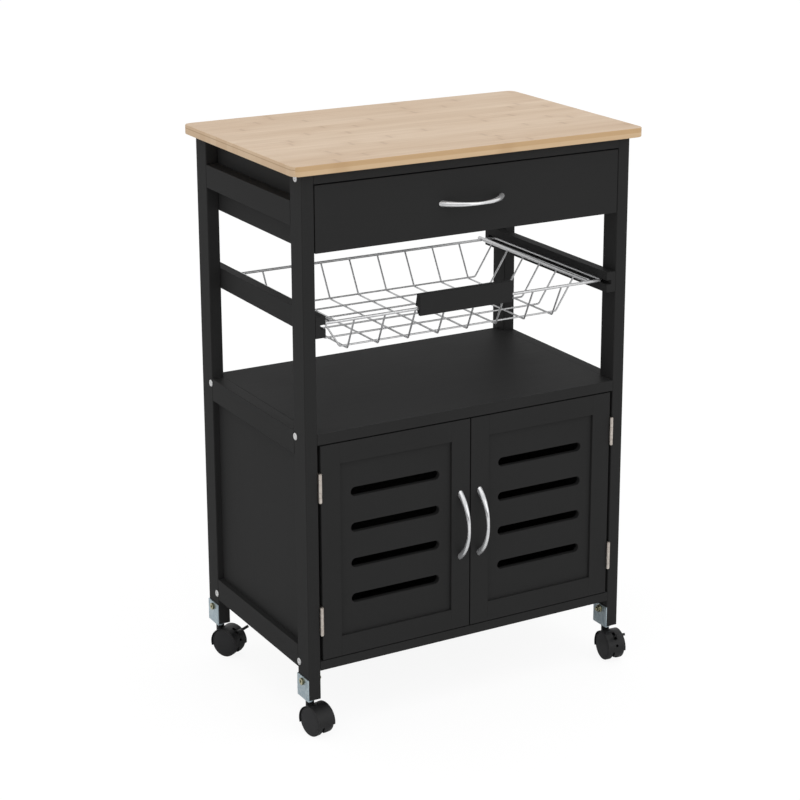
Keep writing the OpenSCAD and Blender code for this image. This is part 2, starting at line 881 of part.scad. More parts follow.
// Two full-height stiles with two rails between them
module door_frame_left() {
    outer = [-door_outer_x, -door_outer_x + stile_w];
    inner = [-door_gap_mid / 2 - stile_w, -door_gap_mid / 2];
    color(black_paint)
    difference() {
        for (x = [outer, inner]) block([x[0], front_y, door_z0], [x[1], front_y + door_t, door_z1]);
        at_door_handle_left() handle_holes(door_t);
    }
    color(black_paint)
    for (z = [door_z0, door_z1 - stile_w]) {
        block([outer[1] + joint_gap, front_y, z], [inner[0] - joint_gap, front_y + door_t, z + stile_w]);
    }
}

module door_panel_left() {
    mid_x = -door_gap_mid / 2 - door_w / 2;
    mid_z = (door_z0 + door_z1) / 2;
    w = door_w - 2 * stile_w;
    h = door_h - 2 * stile_w;
    color(black_paint)
    translate([mid_x, front_y + panel_recess + panel_t, mid_z]) rotate([90, 0, 0])
        linear_extrude(panel_t) difference() {
            square([w, h], center = true);
            for (i = [0 : slot_count - 1]) {
                z = slot_rise + (i - (slot_count - 1) / 2) * slot_pitch;
                translate([0, z]) slot_outline();
            }
        }
}

module slot_outline() {
    square([slot_l - slot_h, slot_h], center = true);
    for (x = [-1, 1]) translate([x * (slot_l - slot_h) / 2, 0]) circle(slot_h / 2);
}

module door_handle_left() {
    at_door_handle_left() handle();
}

// Handle screws and the strike plate of the catch, on the inside of the door
module door_fixings_left() {
    color(steel) {
        at_door_handle_left() handle_screws(door_t);
        block(
            [-catch_w / 2 + 2, front_y + door_t, shelf_z0 - catch_h],
            [-4, front_y + door_t + strike_t, door_z1 - 1]
        );
    }
}

module door_frame_right() {
    mirror([1, 0, 0]) door_frame_left();
}

module door_panel_right() {
    mirror([1, 0, 0]) door_panel_left();
}

module door_handle_right() {
    mirror([1, 0, 0]) door_handle_left();
}

module door_fixings_right() {
    mirror([1, 0, 0]) door_fixings_left();
}

// Casters

module at_caster(name) {
    x = (name == "fl" || name == "rl") ? -caster_x : caster_x;
    y = (name == "fl" || name == "fr") ? caster_y0 : caster_y1;
    turn = name == "fl" ? turn_fl : name == "fr" ? turn_fr : name == "rl" ? turn_rl : turn_rr;
    translate([x, y, 0]) rotate([0, 0, turn]) children();
}

// Outline of the hood's side, in the plane across the axle: x is -Y, y is up. It is cut off below a tilted line
module hood_side(drop, tilt) {
    difference() {
        circle(hood_r);
        rotate(tilt) translate([-2 * hood_r, -2 * hood_r - drop]) square([4 * hood_r, 2 * hood_r]);
    }
}

// Extrudes an outline of the caster's side view across the wheels, centred
module across(w) {
    translate([w / 2, -trail, wheel_r]) rotate([90, 0, -90]) linear_extrude(w) children();
}

module caster_hood(braked) {
    color(black_plastic) {
        difference() {
            union() {
                across(wheel_span) hood_side(5.3, 5);
                across(web_w) hood_side(13, 0);
                translate([0, 0, wheel_r + 4]) cylinder(h = collar_z - wheel_r - 4, r = collar_r);
                translate([0, 0, wheel_r + 4]) cylinder(h = foot_z + stem_l - wheel_r - 4, r = stem_r);
            }
            for (s = [-1, 1]) wheel_space(s);
            if (braked) lever_space();
        }
        translate([-wheel_span / 2 + 2.5, -trail, wheel_r]) rotate([0, 90, 0])
            cylinder(h = wheel_span - 5, r = axle_r);
    }
}

// Room for one wheel inside the hood
module wheel_space(s) {
    inner = web_w / 2;
    translate([s > 0 ? inner : -inner - wheel_span, -trail, wheel_r]) rotate([0, 90, 0])
        cylinder(h = wheel_span, r = wheel_r + 0.6);
}

// Pocket in the hood's web for the lever, over the whole of its swing, and the small hole below it
module lever_space() {
    half = lever_w / 2 + seat;
    depth = lever_hub_r + seat;
    reach = 14;
    low = lever_rise - lever_press;
    translate([half, lever_y, lever_z]) rotate([90, 0, -90]) linear_extrude(2 * half) polygon([
        [-depth, -depth], [0, -depth], depth * [sin(low), -cos(low)],
        reach * [cos(low), sin(low)] + depth * [sin(low), -cos(low)],
        reach * [cos(lever_rise), sin(lever_rise)] + reach * [-sin(lever_rise), cos(lever_rise)],
        [-depth, depth]
    ]);
    translate([-web_w, lever_y, lever_z]) rotate([0, 90, 0]) cylinder(h = 2 * web_w, r = 1.2 + fit);
    translate([0, -trail, wheel_r]) rotate([90 - release_angle, 0, 0]) translate([0, 0, hood_r - release_depth])
        cylinder(h = release_depth + cut, r = release_r);
}

module caster_wheels() {
    hub_in = wheel_span / 2 - wheel_w;
    color(black_plastic)
    for (s = [0, 180]) translate([0, -trail, wheel_r]) rotate([0, 90, 0]) rotate([s, 0, 0])
        rotate_extrude($fn = 64) polygon([
            [axle_r + fit, hub_in], [wheel_r - 0.8, hub_in], [wheel_r, hub_in + 0.8],
            [wheel_r, hub_in + wheel_w - 1.2], [wheel_r - 1.2, hub_in + wheel_w - 0.2],
            [wheel_r - 3, hub_in + wheel_w - 0.2], [wheel_r - 4, hub_in + wheel_w],
            [0, hub_in + wheel_w], [0, hub_in + wheel_w - 2], [axle_r + fit, hub_in + wheel_w - 2]
        ]);
}

module brake_lever() {
    pad_l = 13;
    lip_h = 4;
    color(black_plastic)
    translate([0, lever_y, lever_z]) {
        translate([-lever_w / 2, 0, 0]) rotate([0, 90, 0]) cylinder(h = lever_w, r = lever_hub_r);
        translate([-web_w / 2 + 0.1, 0, 0]) rotate([0, 90, 0]) cylinder(h = web_w - 0.2, r = 1.2);
        rotate([-lever_rise, 0, 0]) {
            block([-lever_w / 2, -lever_l + 1, -lever_t / 2], [lever_w / 2, 0, lever_t / 2]);
            block([-lever_pad_w / 2, -lever_l, -lever_t / 2], [lever_pad_w / 2, pad_l - lever_l, lever_t / 2]);
            block([-lever_pad_w / 2, -lever_l, -lever_t / 2], [lever_pad_w / 2, 3 - lever_l, lip_h - lever_t / 2]);
        }
    }
}

module caster_hood_fl() { at_caster("fl") caster_hood(false); }
module caster_hood_fr() { at_caster("fr") caster_hood(true); }
module caster_hood_rl() { at_caster("rl") caster_hood(true); }
module caster_hood_rr() { at_caster("rr") caster_hood(false); }
module caster_wheels_fl() { at_caster("fl") caster_wheels(); }
module caster_wheels_fr() { at_caster("fr") caster_wheels(); }
module caster_wheels_rl() { at_caster("rl") caster_wheels(); }
module caster_wheels_rr() { at_caster("rr") caster_wheels(); }
module brake_lever_fr() { at_caster("fr") brake_lever(); }
module brake_lever_rl() { at_caster("rl") brake_lever(); }

worktop();
leg(-1, caster_y0);  // leg_front_left
leg(1, caster_y0);  // leg_front_right
leg(-1, caster_y1);  // leg_rear_left
leg(1, caster_y1);  // leg_rear_right
upper_side_rails();
middle_side_rails();
lower_side_rails();
front_top_rail();
rear_apron();
drawer_guide_left();
drawer_guide_right();
basket_rail_left();
basket_rail_right();
shelf();
cabinet_floor();
side_panel_left();
side_panel_right();
back_panel();
hinge_frame_leaves();
hinge_pins();
frame_bolts();
caster_brackets();
bracket_bolts();
door_catch();
drawer_front();
drawer_side_left();
drawer_side_right();
drawer_back();
drawer_bottom();
drawer_handle();
drawer_handle_screws();
basket_rim();
basket_side_bars();
basket_cross_wires();
basket_long_wires();
basket_grip();
door_frame_left();
door_panel_left();
door_handle_left();
door_fixings_left();
door_leaves_left();
door_frame_right();
door_panel_right();
door_handle_right();
door_fixings_right();
door_leaves_right();
caster_hood_fl();
caster_hood_fr();
caster_hood_rl();
caster_hood_rr();
caster_wheels_fl();
caster_wheels_fr();
caster_wheels_rl();
caster_wheels_rr();
brake_lever_fr();
brake_lever_rl();
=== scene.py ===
# %% [markdown]
# A rolling kitchen cart, dressed for a studio picture. The solids of the cart were made in a CAD
# program, and this script gives them their looks. Blender works in metres, so a value in
# millimetres is multiplied by MM.

# %% Load the solids
import json
import math

import bmesh
import bpy
from mathutils import Matrix, Vector


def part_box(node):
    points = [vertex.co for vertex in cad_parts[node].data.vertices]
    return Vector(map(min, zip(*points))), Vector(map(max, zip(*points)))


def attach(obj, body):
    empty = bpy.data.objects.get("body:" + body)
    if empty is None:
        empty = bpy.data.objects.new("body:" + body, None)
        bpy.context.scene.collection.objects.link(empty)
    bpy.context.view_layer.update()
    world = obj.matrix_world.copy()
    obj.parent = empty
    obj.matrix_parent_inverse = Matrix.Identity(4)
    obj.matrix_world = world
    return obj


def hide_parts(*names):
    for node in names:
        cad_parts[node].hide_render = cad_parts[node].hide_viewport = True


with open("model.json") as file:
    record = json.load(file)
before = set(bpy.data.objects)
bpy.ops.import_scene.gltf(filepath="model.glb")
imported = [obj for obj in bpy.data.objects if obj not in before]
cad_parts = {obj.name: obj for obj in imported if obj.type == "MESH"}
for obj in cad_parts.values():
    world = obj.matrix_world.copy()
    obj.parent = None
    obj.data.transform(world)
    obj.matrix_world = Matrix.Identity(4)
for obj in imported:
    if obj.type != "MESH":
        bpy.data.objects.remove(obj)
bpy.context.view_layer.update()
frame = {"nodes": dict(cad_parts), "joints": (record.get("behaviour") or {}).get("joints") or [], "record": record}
MM = 0.001


def rounded(values):
    """Numbers that are short enough to print."""
    return tuple(round(value, 4) for value in values)


# %% [markdown]
# Every piece rides on a body, such as the drawer or one caster, so that it moves when that body
# moves. The record says which solid belongs to which body, and this table turns that round.

# %% Find the body of each solid
BODY_OF = {}
for body, solids in frame["record"]["behaviour"]["bodies"].items():
    for solid in solids:
        BODY_OF[solid] = body
JOINT = {joint["name"]: joint for joint in frame["joints"]}

# %% [markdown]
# The picture is taken with a long lens from the front left and a little above. The camera's place
# and turn were worked out from corners of the cart whose place is known. Its axes are written down
# as a matrix, because that leaves no doubt about the order of the turns. The small shift stands
# for a picture that was cut from a wider one.

# %% Set up the camera
SENSOR_WIDTH = 36  # millimetres
NEAREST, FARTHEST = 0.05, 60  # metres between which the camera sees


def aimed_camera(place, yaw, pitch, roll, focal, shift):
    """A camera turned by degrees from looking along +Y, with its focal length in millimetres."""
    yaw, pitch, roll = (math.radians(angle) for angle in (yaw, pitch, roll))
    level = Vector((math.cos(yaw), math.sin(yaw), 0))
    ahead = Vector(
        (-math.sin(yaw) * math.cos(pitch), math.cos(yaw) * math.cos(pitch), math.sin(pitch))
    )
    above = level.cross(ahead)
    right = math.cos(roll) * level + math.sin(roll) * above
    up = -math.sin(roll) * level + math.cos(roll) * above
    data = bpy.data.cameras.new("camera")
    data.sensor_width = SENSOR_WIDTH
    data.lens = focal
    data.shift_x, data.shift_y = shift
    data.clip_start, data.clip_end = NEAREST, FARTHEST
    camera = bpy.data.objects.new("camera", data)
    bpy.context.scene.collection.objects.link(camera)
    turned = Matrix((right, up, -ahead)).transposed().to_4x4()
    camera.matrix_world = Matrix.Translation(place) @ turned
    return camera


bpy.context.scene.camera = aimed_camera(
    place=Vector((-1.50742, -2.63494, 1.41625)),
    yaw=-30.1568,
    pitch=-16.0215,
    roll=0.0481,
    focal=95.336,
    shift=(-0.0375, -0.1),
)
print("camera at", rounded(bpy.context.scene.camera.matrix_world.translation))

# %% [markdown]
# Shaders and Geometry Nodes are both trees of nodes. Laying them out by hand in Python gets long,
# so two small classes help. Value stands for one output of a node, and the signs + - * / on it add
# the maths node that does the sum. Bench has one method that adds any node, with its settings and
# inputs, and a few short forms of it for the nodes that come up most.

# %% Helpers for node trees
class Value:
    """One output of a node."""

    def __init__(self, bench, output):
        self.bench = bench
        self.output = output

    def __add__(self, other):
        return self.bench.maths("ADD", self, other)

    def __radd__(self, other):
        return self.bench.maths("ADD", other, self)

    def __sub__(self, other):
        return self.bench.maths("SUBTRACT", self, other)

    def __rsub__(self, other):
        return self.bench.maths("SUBTRACT", other, self)

    def __mul__(self, other):
        return self.bench.maths("MULTIPLY", self, other)

    def __rmul__(self, other):
        return self.bench.maths("MULTIPLY", other, self)

    def __truediv__(self, other):
        return self.bench.maths("DIVIDE", self, other)

    def parts(self):
        """The x, y and z of a vector."""
        node = self.bench.add("ShaderNodeSeparateXYZ", inputs={0: self}).output.node
        return [Value(self.bench, output) for output in node.outputs]


class Bench:
    """A node tree that is being laid out."""

    def __init__(self, tree):
        self.tree = tree

    def add(self, kind, settings=None, inputs=None, output=0):
        """Adds a node. Inputs are numbers, colours, vectors, or Values, which are linked."""
        node = self.tree.nodes.new(kind)
        for name, setting in (settings or {}).items():
            setattr(node, name, setting)
        for key, given in (inputs or {}).items():
            if isinstance(given, Value):
                self.tree.links.new(given.output, node.inputs[key])
            else:
                node.inputs[key].default_value = given
        return Value(self, node.outputs[output])

    def maths(self, operation, *terms):
        return self.add("ShaderNodeMath", {"operation": operation}, dict(enumerate(terms)))

    def ramp(self, value, low, high):
        """0 below low, 1 above high, and a smooth step between them."""
        smooth = {"interpolation_type": "SMOOTHSTEP"}
        return self.add("ShaderNodeMapRange", smooth, {"Value": value, 1: low, 2: high})

    def blend(self, share, first, second):
        """A colour between two others. Numbers pick its colour sockets, whose names come twice."""
        colours = {0: share, 6: first, 7: second}
        return self.add("ShaderNodeMix", {"data_type": "RGBA"}, colours, output=2)

    def layered(self, colour, *layers):
        """A colour with others over it, each given as its share and itself."""
        for share, over in layers:
            colour = self.blend(share, colour, over)
        return colour


# %% [markdown]
# A shader counts light, while the numbers in a picture's file are bent to give the dark tones more
# room. Colours are written here as a picture shows them, and one function turns them into what a
# shader wants.

# %% Colours
def rgb(red, green, blue):
    """A colour as a shader wants it, from the 0 to 255 values that a picture shows."""
    linear = []
    for level in (red, green, blue):
        share = level / 255
        linear.append(share / 12.92 if share <= 0.04045 else ((share + 0.055) / 1.055) ** 2.4)
    return (*linear, 1.0)


print("grey 128 is", round(rgb(128, 128, 128)[0], 4), "in a shader")

# %% [markdown]
# A finish starts as Blender's own Principled shader. Numbers that are the same all over the
# surface are set on its sockets. What varies, such as the grain, is worked out from Object
# coordinates, which are the real place of each point in metres, so a pattern keeps its true scale
# on every piece.

# %% Helpers for finishes
class Finish(Bench):
    """A material with a Principled shader, and the parts that most finishes share."""

    def __init__(self, name, **constants):
        self.material = bpy.data.materials.new(name)
        self.material.use_nodes = True
        super().__init__(self.material.node_tree)
        self.shader = self.tree.nodes["Principled BSDF"]
        for socket, constant in constants.items():
            self.shader.inputs[socket.replace("_", " ")].default_value = constant
        self.place = self.add("ShaderNodeTexCoord", output="Object")

    def noise(self, scale, stretch=(1, 1, 1), detail=3.0, roughness=0.55):
        """Soft noise with features of about 1 / scale metres, drawn out where stretch is small."""
        mapped = self.add("ShaderNodeMapping", inputs={"Vector": self.place, "Scale": stretch})
        look = {"Vector": mapped, "Scale": scale, "Detail": detail, "Roughness": roughness}
        return self.add("ShaderNodeTexNoise", inputs=look)

    def feed(self, socket, value):
        self.tree.links.new(value.output, self.shader.inputs[socket])

    def bumps(self, height, strength, distance):
        relief = {"Height": height, "Strength": strength, "Distance": distance}
        self.feed("Normal", self.add("ShaderNodeBump", inputs=relief))


# %% [markdown]
# The wood is sprayed with black satin paint. Up close such paint has a fine orange peel, and the
# wood's fibres show through as faint lines along each board. One function makes the paint for
# boards that run along X, Y or Z, because the fibres have to follow the board.

# %% Black satin paint
FIBRE_STRETCH = 0.03


def black_paint(axis):
    paint = Finish("black_paint_" + axis, IOR=1.45, Specular_IOR_Level=0.04)
    stretch = [FIBRE_STRETCH if letter == axis else 1 for letter in "xyz"]
    fibres = paint.noise(420, stretch, detail=5)
    clouds = paint.noise(7, detail=2)
    peel = paint.noise(1500, detail=1)
    tone = fibres * 0.45 + clouds * 0.55
    paint.feed("Base Color", paint.blend(tone, rgb(43, 43, 43), rgb(47, 47, 47)))
    paint.feed("Roughness", 0.46 + 0.12 * fibres + 0.06 * clouds)
    paint.bumps(fibres * 0.6 + peel * 0.4, 0.14, 0.2 * MM)
    return paint.material


PAINT = {axis: black_paint(axis) for axis in "xyz"}
print("paints:", [paint.name for paint in PAINT.values()])

# %% [markdown]
# The worktop is a board of bamboo, glued up from strips about 18 mm wide that run the whole
# length. Each strip has its own tone, fine fibres, and now and then a node, where the cane had a
# joint: a brown mark across the strip, with a softer glow on both sides of it. A white noise that
# is fed with the number of the strip gives each one its own random values.

# %% The strips of the bamboo
STRIP = 18.5 * MM


class Bamboo(Finish):
    """Strips of bamboo along X, with what varies over them."""

    def __init__(self):
        super().__init__("bamboo", IOR=1.45, Specular_IOR_Level=0.3)
        x, y, self.z = self.place.parts()
        strip = self.maths("FLOOR", y / STRIP)
        one_number = {"noise_dimensions": "1D"}
        own = self.add("ShaderNodeTexWhiteNoise", one_number, {"W": strip}, output="Color")
        self.tone, shift, spacing = own.parts()
        self.fibres = self.noise(300, (0.02, 1, 1), detail=5, roughness=0.65)
        self.seam = self.ramp(self.maths("PINGPONG", y, STRIP / 2), 0, 0.4 * MM)
        pitch = 0.21 + 0.12 * spacing
        wobble = self.noise(60, detail=1) * 0.004
        from_node = self.maths("PINGPONG", x + shift * 0.7 + wobble, pitch / 2)
        self.node = 1 - self.ramp(from_node, 0.4 * MM, 4.5 * MM)
        self.glow = 1 - self.ramp(from_node, 3 * MM, 22 * MM)


low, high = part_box("worktop")
print("worktop strips:", math.ceil((high.y - low.y) / STRIP))

# %% [markdown]
# The worktop's edges show other faces of the strips than its top does. Along the long edges two
# plies lie on each other, and at the ends the fibres are cut across. So each kind of face gets its
# own colour: two tones are blended first, and veins, nodes and seams are then laid over them.

# %% The colours of the bamboo
def broad_face(bamboo):
    veins = bamboo.ramp(bamboo.noise(900, (0.012, 1, 1), detail=2), 0.58, 0.72)
    bands = bamboo.noise(26, (0.12, 1, 1), detail=2)
    return bamboo.layered(
        bamboo.blend(bamboo.tone, rgb(221, 197, 171), rgb(209, 182, 153)),
        (bamboo.ramp(bamboo.fibres, 0.35, 0.7) * 0.5, rgb(200, 169, 136)),
        (bamboo.ramp(bands, 0.35, 0.75) * 0.4, rgb(228, 207, 183)),
        (veins * 0.45, rgb(176, 141, 106)),
        (bamboo.glow * 0.16, rgb(190, 156, 124)),
        (bamboo.node * 0.2, rgb(140, 100, 66)),
        ((1 - bamboo.seam) * 0.2, rgb(160, 126, 95)),
    )


def long_edge(bamboo, ply_height):
    upper = bamboo.ramp(bamboo.z, ply_height - 0.3 * MM, ply_height + 0.3 * MM)
    return bamboo.layered(
        bamboo.blend(upper, rgb(216, 187, 150), rgb(202, 169, 128)),
        (bamboo.fibres * 0.4, rgb(186, 150, 108)),
        (bamboo.glow * 0.3, rgb(180, 144, 104)),
    )


def cut_end(bamboo, ply_height):
    cut_fibres = bamboo.noise(1300, (0.25, 1, 1), detail=2)
    from_ply = bamboo.z - ply_height
    line = bamboo.ramp(from_ply, 1.6 * MM, 2 * MM) - bamboo.ramp(from_ply, 2.8 * MM, 3.2 * MM)
    return bamboo.layered(
        bamboo.blend(bamboo.tone * 0.6, rgb(222, 196, 164), rgb(205, 174, 140)),
        (cut_fibres * 0.35, rgb(170, 134, 98)),
        (line * 0.5, rgb(150, 112, 76)),
    )


# %% [markdown]
# An attribute on the mesh says what kind of face a point is on: 0 is a broad face, 1 a long edge
# and 2 a cut end. The finish goes from one colour to the next halfway between those numbers.

# %% The finish of the bamboo
LONG_EDGE, CUT_END = 1.0, 2.0


def bamboo_finish(ply_height):
    bamboo = Bamboo()
    side = bamboo.add("ShaderNodeAttribute", {"attribute_name": "side"}, output="Fac")
    past_broad = bamboo.ramp(side, LONG_EDGE - 0.75, LONG_EDGE - 0.25)
    past_long = bamboo.ramp(side, CUT_END - 0.75, CUT_END - 0.25)
    shown = bamboo.blend(past_broad, broad_face(bamboo), long_edge(bamboo, ply_height))
    bamboo.feed("Base Color", bamboo.blend(past_long, shown, cut_end(bamboo, ply_height)))
    bamboo.feed("Roughness", 0.42 + 0.16 * bamboo.fibres)
    bamboo.bumps(bamboo.fibres * 0.6 + bamboo.seam * 0.4, 0.3, 0.2 * MM)
    return bamboo.material


BAMBOO = bamboo_finish((low.z + high.z) / 2)
print("bamboo nodes:", len(BAMBOO.node_tree.nodes))

# %% [markdown]
# The metals differ more in roughness than in colour. The handles are bright chrome, and the
# basket's wires are the same with a duller skin. Both are a little less than fully metallic,
# because a real studio is full of white things that a mirror would show, and this one has few. The
# hinges are brushed nickel, a little warm. The brackets are zinc plated, which looks pale blue and
# faintly cloudy, and the screws through them have a yellow-green plating. An attribute on their
# mesh marks the faces that get painted shade, a darker colour laid where shade falls.

# %% Metals
def metal(
    name, dark, light, roughness, uneven,
    grain=300, stretch=(1, 1, 1), bump=0.05, painted_shade=None, metallic=1.0,
):
    finish = Finish(name, Metallic=metallic)
    pattern = finish.noise(grain, stretch, detail=3)
    colour = finish.blend(finish.ramp(pattern, 0.3, 0.7), dark, light)
    if painted_shade:
        # Painted shade: the faces that the attribute marks are darkened towards the given colour.
        painted_shade_mask = finish.add("ShaderNodeAttribute", {"attribute_name": "painted_shade"}, output="Fac")
        colour = finish.blend(painted_shade_mask, colour, painted_shade)
    finish.feed("Base Color", colour)
    finish.feed("Roughness", roughness + uneven * pattern)
    finish.bumps(pattern, bump, 0.1 * MM)
    return finish.material


CHROME = metal(
    "chrome", rgb(216, 217, 219), rgb(232, 232, 233), 0.07, 0.05, grain=90, bump=0.01, metallic=0.65
)
NICKEL = metal(
    "nickel", rgb(184, 175, 166), rgb(214, 206, 198), 0.3, 0.16, grain=800, stretch=(1, 1, 0.1)
)
BOLT_STEEL = metal("bolt_steel", rgb(196, 196, 196), rgb(222, 222, 222), 0.26, 0.14, grain=700)
ZINC = metal("zinc", rgb(170, 187, 196), rgb(196, 208, 213), 0.36, 0.16, grain=220, bump=0.08)
# The screws' dark colour rgb(62, 60, 38) is painted shade, for the faces that their attribute marks.
BRASS_PLATE = metal(
    "brass_screws", rgb(168, 168, 140), rgb(214, 208, 178), 0.28, 0.12, grain=260,
    painted_shade=rgb(62, 60, 38),
)
WIRE = metal(
    "wire", rgb(196, 197, 198), rgb(216, 216, 217), 0.24, 0.14, grain=500, metallic=0.65
)
print("metals:", [m.name for m in (CHROME, NICKEL, BOLT_STEEL, ZINC, BRASS_PLATE, WIRE)])

# %% [markdown]
# The casters are moulded from black nylon. Its skin has a very fine spark-eroded texture, which
# makes the highlights soft. The wheels are the same plastic with a smoother tread, so the same
# function makes both.

# %% Black plastic
def black_plastic(name, dark, light, roughness, texture):
    plastic = Finish(name, IOR=1.5, Specular_IOR_Level=0.3)
    skin = plastic.noise(texture, detail=2)
    dust = plastic.noise(45, detail=3)
    plastic.feed("Base Color", plastic.blend(dust, dark, light))
    plastic.feed("Roughness", roughness + 0.14 * skin)
    plastic.bumps(skin, 0.3, 0.2 * MM)
    return plastic.material


HOOD_PLASTIC = black_plastic("black_plastic", rgb(20, 20, 21), rgb(28, 28, 29), 0.42, 2200)
WHEEL_PLASTIC = black_plastic("wheel_plastic", rgb(19, 19, 21), rgb(27, 27, 29), 0.36, 1500)
print("plastics:", HOOD_PLASTIC.name, WHEEL_PLASTIC.name)

# %% [markdown]
# A finished mesh becomes a piece in one place: it gets its finish, rides on its body, and hides
# the solids that it stands for. Curved faces are shaded smooth up to an angle, and weighted normals
# keep the flat faces beside them flat.

# %% Helpers for pieces
def shaded(mesh, angle=40):
    """The mesh with smooth curves and true flat faces."""
    mesh.shade_smooth()
    mesh.set_sharp_from_angle(angle=math.radians(angle))
    carrier = bpy.data.objects.new("carrier", mesh)
    bpy.context.scene.collection.objects.link(carrier)
    carrier.modifiers.new("flat faces first", "WEIGHTED_NORMAL").keep_sharp = True
    evaluated = carrier.evaluated_get(bpy.context.evaluated_depsgraph_get())
    result = bpy.data.meshes.new_from_object(evaluated)
    bpy.data.objects.remove(carrier)
    return result


def to_mesh(bm, name, angle=40):
    """The mesh of a finished bmesh, with its faces outwards."""
    bmesh.ops.recalc_face_normals(bm, faces=bm.faces)
    mesh = bpy.data.meshes.new(name)
    bm.to_mesh(mesh)
    bm.free()
    return shaded(mesh, angle)


def piece(name, mesh, material, body, slot, *solids):
    """Puts a mesh into the scene as a piece of the cart."""
    mesh.materials.clear()
    mesh.materials.append(material)
    made = bpy.data.objects.new(name, mesh)
    bpy.context.scene.collection.objects.link(made)
    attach(made, body)
    if solids:
        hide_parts(*solids)
    return made


# %% [markdown]
# No real board has a knife edge. The maker runs sandpaper or a small router bit along every edge,
# and that narrow round catches the light. A board here is a copy of its solid: the loose triangles
# are merged, flat faces are joined up, and then every sharp edge is bevelled.

# %% Soften the edges of a solid
WELD = 0.002 * MM  # points closer than this are one point
FLAT_ANGLE = math.radians(0.5)
SHARP_ANGLE = math.radians(30)


def copied(solid):
    """A bmesh copy of a solid, whose loose triangles are joined."""
    bm = bmesh.new()
    bm.from_mesh(frame["nodes"][solid].data)
    bmesh.ops.remove_doubles(bm, verts=bm.verts, dist=WELD)
    return bm


def softened(solid, width, segments=2):
    """A copy of a solid with round edges of that width in millimetres."""
    bm = copied(solid)
    bmesh.ops.dissolve_limit(bm, angle_limit=FLAT_ANGLE, verts=bm.verts, edges=bm.edges)
    bmesh.ops.recalc_face_normals(bm, faces=bm.faces)
    bmesh.ops.bevel(
        bm,
        geom=[e for e in bm.edges if e.is_manifold and e.calc_face_angle(0) > SHARP_ANGLE],
        offset=width * MM,
        segments=segments,
        profile=0.5,
        affect="EDGES",
        clamp_overlap=True,
    )
    return bm


def soft_piece(solid, width, material, slot, angle=40):
    """A softened copy of a solid, in its place."""
    mesh = to_mesh(softened(solid, width), solid + "_board", angle)
    return piece(solid + "_shaped", mesh, material, BODY_OF[solid], slot, solid)


# %% [markdown]
# The black boards all come from that one step. What differs is the way the grain runs and how
# round the edges are, in millimetres: the drawer's front is well rounded, while thin panels and
# plywood are only broken at the edge.

# %% Make the black boards
BOARDS = {
    "x": {
        "front_top_rail": 0.7, "rear_apron": 0.8, "shelf": 0.6, "cabinet_floor": 0.6,
        "drawer_front": 0.9, "drawer_back": 0.6, "drawer_bottom": 0.3, "basket_grip": 0.6,
    },
    "y": {
        "upper_side_rails": 0.7, "middle_side_rails": 0.7, "lower_side_rails": 0.7,
        "drawer_guide_left": 0.5, "drawer_guide_right": 0.5, "basket_rail_left": 0.5,
        "basket_rail_right": 0.5, "drawer_side_left": 0.6, "drawer_side_right": 0.6,
    },
    "z": {
        "leg_front_left": 0.5, "leg_front_right": 0.5, "leg_rear_left": 0.5, "leg_rear_right": 0.5,
        "side_panel_left": 0.4, "side_panel_right": 0.4, "back_panel": 0.3, "door_frame_left": 0.6,
        "door_frame_right": 0.6, "door_panel_left": 0.5, "door_panel_right": 0.5,
    },
}
for axis, widths in BOARDS.items():
    for solid, width in widths.items():
        board = soft_piece(solid, width, PAINT[axis], "black_paint")
        print(board.name, len(board.data.polygons), "faces")

# %% [markdown]
# The worktop is softened in the same way, with a rounder edge. Each face then notes what it shows
# of the bamboo. The broad faces keep the attribute's first value, which is zero.

# %% Make the worktop
worktop_mesh = to_mesh(softened("worktop", 1.4, segments=3), "worktop_board")
side = worktop_mesh.attributes.new("side", "FLOAT", "FACE")
for face, entry in zip(worktop_mesh.polygons, side.data):
    if abs(face.normal.x) > 0.6:
        entry.value = CUT_END
    elif abs(face.normal.y) > 0.6:
        entry.value = LONG_EDGE
piece("worktop_shaped", worktop_mesh, BAMBOO, "frame", "bamboo", "worktop")
print("worktop faces:", len(worktop_mesh.polygons))

# %% [markdown]
# The small parts with plain shapes are softened copies too: the zinc brackets, which are bent from
# sheet, the hinge leaves with their knuckles and pins, the plastic brake levers and door catch,
# and the fixings inside the doors and the drawer.

# %% Make the plain hardware
HARDWARE = {
    "caster_brackets": (0.45, ZINC, "zinc"),
    "hinge_frame_leaves": (0.25, NICKEL, "nickel"),
    "hinge_pins": (0.3, NICKEL, "nickel"),
    "door_leaves_left": (0.25, NICKEL, "nickel"),
    "door_leaves_right": (0.25, NICKEL, "nickel"),
    "brake_lever_fr": (0.6, HOOD_PLASTIC, "black_plastic"),
    "brake_lever_rl": (0.6, HOOD_PLASTIC, "black_plastic"),
    "door_catch": (0.6, HOOD_PLASTIC, "black_plastic"),
    "door_fixings_left": (0.2, BOLT_STEEL, "bolt_steel"),
    "door_fixings_right": (0.2, BOLT_STEEL, "bolt_steel"),
    "drawer_handle_screws": (0.2, BOLT_STEEL, "bolt_steel"),
}
for solid, (width, material, slot) in HARDWARE.items():
    made = soft_piece(solid, width, material, slot)
    print(made.name, len(made.data.polygons), "faces")

# %% [markdown]
# What repeats is made with Geometry Nodes. Recipe lays out such a tree with named inputs, and its
# grow method runs it: a carrier object holds the start mesh and the modifier, the inputs are set
# by their identifiers, and the evaluated result is kept as a plain mesh. The carrier is then
# thrown away.

